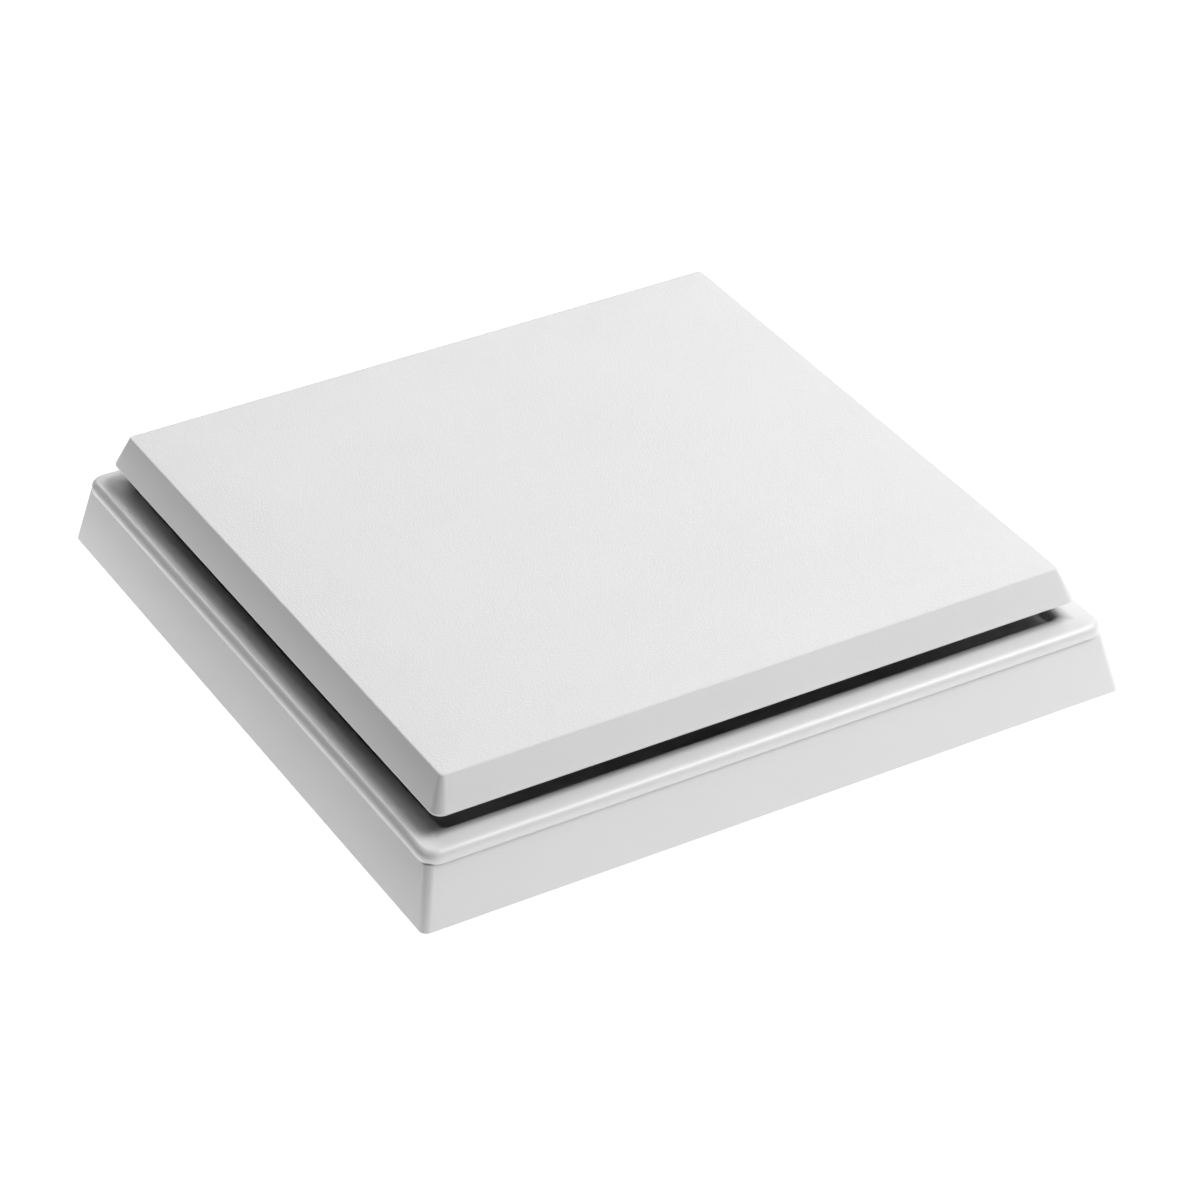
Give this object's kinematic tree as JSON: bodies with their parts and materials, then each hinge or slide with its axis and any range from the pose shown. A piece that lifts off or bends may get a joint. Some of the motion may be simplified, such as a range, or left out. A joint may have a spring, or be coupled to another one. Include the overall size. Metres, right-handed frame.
{
  "type": "bathroom extractor fan",
  "caption": "Square wall fan with a floating bevelled front panel, hidden edge inlet, axial impeller, round duct spigot and backdraft flaps.",
  "frame": {"origin": "centre of the duct spigot in the plane of the wall face", "axes": "+Z out of the wall into the room, X and Y along the sides of the square casing, cable entry towards +X +Y"},
  "size_m": [0.18, 0.18, 0.0648],
  "materials": {
    "white_plastic": "satin moulded",
    "panel_plastic": "fine leather grain on the face",
    "grey_plastic": "matt moulded",
    "impeller_plastic": "satin moulded",
    "dark_rubber": "matt",
    "plated_steel": "zinc plated",
    "ground_steel": "ground",
    "brass_tube": "turned",
    "core_steel": "laminated, lacquered",
    "copper_wire": "enamelled",
    "magnet_ferrite": "bonded ferrite",
    "board_green": "solder mask",
    "black_plastic": "moulded",
    "film_case": "moulded",
    "can_sleeve": "shrunk sleeve",
    "blue_plastic": "moulded",
    "ferrite_core": "wound ferrite",
    "terminal_grey": "moulded",
    "lead_sleeve": "extruded"
  },
  "bodies": {
    "housing": {"pin_grommets": "dark_rubber", "inlet_fascia": "white_plastic", "skirt": "white_plastic", "fascia_screws": "plated_steel", "base_plate": "white_plastic", "fixing_bushes": "dark_rubber", "fan_tube": "white_plastic", "tube_screws": "plated_steel", "finger_guard": "white_plastic", "motor_bracket": "grey_plastic", "bearing_tube": "brass_tube", "front_bearing": "ground_steel", "rear_bearing": "ground_steel", "motor_board": "board_green", "stator_core": "core_steel", "stator_windings": "copper_wire", "preload_spring": "plated_steel", "shutter_frame": "grey_plastic", "flap_pin": "ground_steel", "control_board": "board_green", "board_screws": "plated_steel", "electronics_cover": "white_plastic", "cover_screw": "plated_steel", "terminal_block": "terminal_grey", "terminal_screws": "plated_steel", "relay": "black_plastic", "film_capacitor": "film_case", "electrolytic_capacitors": "can_sleeve", "choke": "ferrite_core", "chips": "black_plastic", "humidity_sensor": "white_plastic", "trimmer_bodies": "blue_plastic", "motor_lead": "lead_sleeve", "lead_connector": "terminal_grey", "cable_grommet": "dark_rubber", "cable_clamp": "white_plastic", "clamp_screws": "plated_steel"},
    "rotor": {"impeller": "impeller_plastic", "rotor_cup": "ground_steel", "rotor_magnet": "magnet_ferrite", "motor_shaft": "ground_steel", "shaft_clip": "plated_steel"},
    "front_cover": {"front_panel": "panel_plastic", "panel_pins": "white_plastic"},
    "upper_flap": {"flap_upper": "grey_plastic", "upper_spring": "plated_steel"},
    "lower_flap": {"flap_lower": "grey_plastic", "lower_spring": "plated_steel"},
    "timer_dial": {"timer_knob": "white_plastic"},
    "humidity_dial": {"humidity_knob": "white_plastic"}
  },
  "joints": [
    {"name": "impeller_spin", "type": "hinge", "parent": "housing", "child": "rotor", "pos_m": [0, 0, -0.01], "axis": [0, 0, 1], "continuous": true},
    {"name": "panel_pull", "type": "slide", "parent": "housing", "child": "front_cover", "axis": [0, 0, 1], "range_m": [0, 0.03]},
    {"name": "upper_flap_hinge", "type": "hinge", "parent": "housing", "child": "upper_flap", "pos_m": [0, 0, -0.029], "axis": [-1, 0, 0], "range_deg": [0, 80], "stiffness_Nm_per_rad": 0.0006, "springref_deg": -103.13},
    {"name": "lower_flap_hinge", "type": "hinge", "parent": "housing", "child": "lower_flap", "pos_m": [0, 0, -0.029], "axis": [1, 0, 0], "range_deg": [0, 80], "stiffness_Nm_per_rad": 0.0006, "springref_deg": -103.13},
    {"name": "timer_turn", "type": "hinge", "parent": "housing", "child": "timer_dial", "pos_m": [-0.038, 0.067, 0.01], "axis": [0, 0, 1], "range_deg": [-135, 135]},
    {"name": "humidity_turn", "type": "hinge", "parent": "housing", "child": "humidity_dial", "pos_m": [-0.028, 0.071, 0.01], "axis": [0, 0, 1], "range_deg": [-135, 135]}
  ]
}
